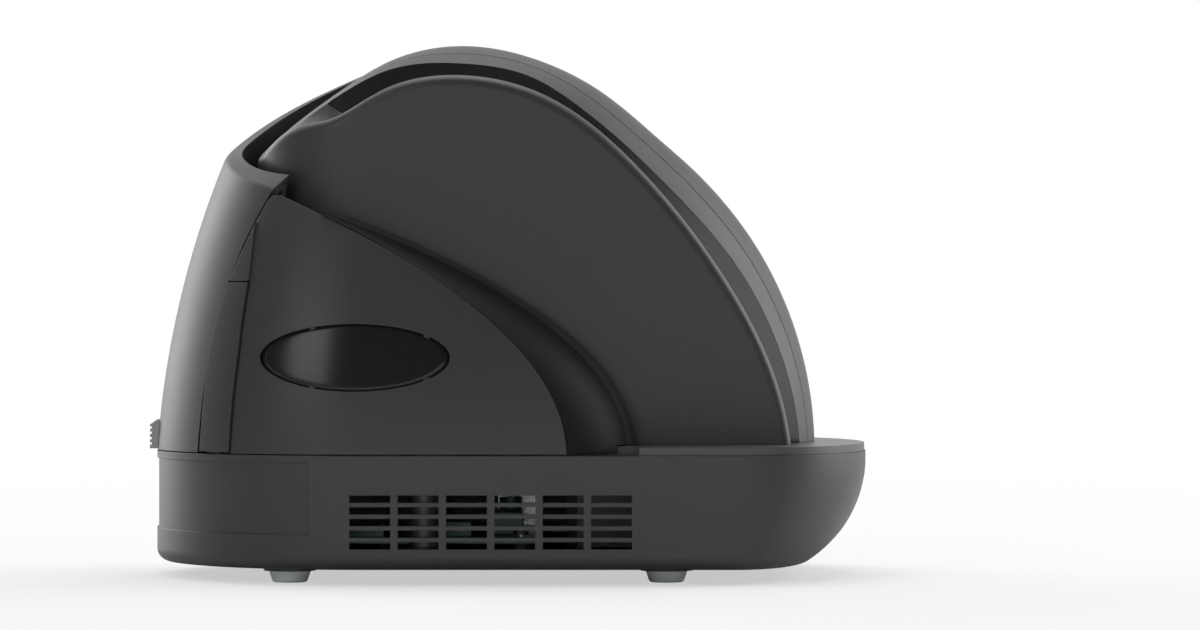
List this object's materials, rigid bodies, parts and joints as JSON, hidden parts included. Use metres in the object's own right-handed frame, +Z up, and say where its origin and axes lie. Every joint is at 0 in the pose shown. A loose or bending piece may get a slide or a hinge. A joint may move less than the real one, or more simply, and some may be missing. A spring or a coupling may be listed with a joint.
{
  "type": "cheque scanner",
  "caption": "Desktop cheque scanner with an upright U-shaped document track, a swing-down front door, a lift-off end cover and a card slot along its domed top.",
  "frame": {"origin": "centre of the footprint on the table, under the feet", "axes": "+Z up, +X towards the nose where the document enters and leaves, +Y to the rear, front grille on the -Y side"},
  "size_m": [0.2016, 0.12, 0.1498],
  "materials": {
    "housing": "fine texture, dark grey",
    "deck": "fine texture, dark grey",
    "black": "satin black",
    "gloss_black": "polished black",
    "light_grey": "matte light grey",
    "feet": "soft light grey",
    "rubber": "ground",
    "belt": "matte",
    "steel": "ground",
    "brass": "sintered",
    "pulley": "turned",
    "motor": "zinc plated and painted",
    "head": "polished shield",
    "magnet": "sintered",
    "board": "solder mask",
    "socket": "plated",
    "glass": "clear"
  },
  "bodies": {
    "base": {"base_pan": "housing", "feet": "feet", "base_screws": "steel", "deck": "deck", "hinge_pins": "steel", "rear_cover": "housing", "island_front_shell": "housing", "card_channel": "gloss_black", "card_guide_housing": "housing", "island_rear_shell": "housing", "inner_frame": "black", "shaft_bushes": "brass", "drive_belt": "belt", "motor": "motor", "motor_screws": "steel", "ink_head": "head", "charge_magnet": "magnet", "circuit_board": "board", "board_screws": "steel", "usb_socket": "socket", "power_socket": "black", "rear_idler_pin": "steel", "rear_image_sensor": "black", "rear_sensor_glass": "glass"},
    "front_door": {"front_cover": "housing", "entry_guide": "black", "latch_pin": "steel", "front_idler_pin": "steel", "front_image_sensor": "black", "front_sensor_glass": "glass"},
    "latch": {"latch_strip": "housing"},
    "end_door": {"end_cover": "housing", "turn_idler_pin": "steel"},
    "tab": {"release_tab": "light_grey"},
    "card_reader_head": {"card_head": "head"},
    "motor_rotor": {"motor_shaft": "steel", "motor_pulley": "brass"},
    "entry_drive": {"entry_shaft": "steel", "entry_roller": "rubber", "entry_pulley": "pulley"},
    "turn_drive": {"turn_shaft": "steel", "turn_roller": "rubber", "turn_pulley": "pulley"},
    "exit_drive": {"exit_shaft": "steel", "exit_roller": "rubber", "exit_pulley": "pulley"},
    "front_idler_wheel": {"front_idler": "rubber"},
    "turn_idler_wheel": {"turn_idler": "rubber"},
    "rear_idler_wheel": {"rear_idler": "rubber"}
  },
  "joints": [
    {"name": "front_door_hinge", "type": "hinge", "parent": "base", "child": "front_door", "pos_m": [0, -0.0548, 0.0412], "axis": [1, 0, 0], "range_deg": [0, 60]},
    {"name": "latch_press", "type": "hinge", "parent": "front_door", "child": "latch", "pos_m": [-0.07597, -0.0393, 0.047], "axis": [-0.7314, 0.682, 0], "range_deg": [0, 4], "stiffness_Nm_per_rad": 1.2, "springref_deg": -1.72},
    {"name": "end_cover_lift", "type": "slide", "parent": "base", "child": "end_door", "axis": [0, 0, 1], "range_m": [0, 0.12]},
    {"name": "release_tab_press", "type": "slide", "parent": "end_door", "child": "tab", "axis": [1, 0, 0], "range_m": [0, 0.0012], "stiffness_N_per_m": 600, "springref_m": -0.001},
    {"name": "card_head_spring", "type": "slide", "parent": "base", "child": "card_reader_head", "axis": [0, -1, 0], "range_m": [0, 0.0008], "stiffness_N_per_m": 400, "springref_m": -0.001},
    {"name": "motor_spin", "type": "hinge", "parent": "base", "child": "motor_rotor", "pos_m": [0.034, 0, 0.028], "axis": [0, 0, 1], "continuous": true},
    {"name": "entry_roller_spin", "type": "hinge", "parent": "base", "child": "entry_drive", "pos_m": [-0.008, -0.025, 0.057], "axis": [0, 0, 1], "continuous": true},
    {"name": "turn_roller_spin", "type": "hinge", "parent": "base", "child": "turn_drive", "pos_m": [-0.0642, 0, 0.057], "axis": [0, 0, 1], "continuous": true},
    {"name": "exit_roller_spin", "type": "hinge", "parent": "base", "child": "exit_drive", "pos_m": [-0.008, 0.025, 0.057], "axis": [0, 0, 1], "continuous": true},
    {"name": "front_idler_spin", "type": "hinge", "parent": "front_door", "child": "front_idler_wheel", "pos_m": [-0.008, -0.04015, 0.057], "axis": [0, 0, 1], "continuous": true},
    {"name": "turn_idler_spin", "type": "hinge", "parent": "end_door", "child": "turn_idler_wheel", "pos_m": [-0.07935, 0, 0.057], "axis": [0, 0, 1], "continuous": true},
    {"name": "rear_idler_spin", "type": "hinge", "parent": "base", "child": "rear_idler_wheel", "pos_m": [-0.008, 0.04015, 0.057], "axis": [0, 0, 1], "continuous": true}
  ],
  "couplings": [
    {"joint": "entry_roller_spin", "follows": "motor_spin", "ratio": 0.75},
    {"joint": "turn_roller_spin", "follows": "motor_spin", "ratio": 0.75},
    {"joint": "exit_roller_spin", "follows": "motor_spin", "ratio": 0.75},
    {"joint": "front_idler_spin", "follows": "motor_spin", "ratio": -1.125},
    {"joint": "turn_idler_spin", "follows": "motor_spin", "ratio": -1.125},
    {"joint": "rear_idler_spin", "follows": "motor_spin", "ratio": -1.125}
  ]
}
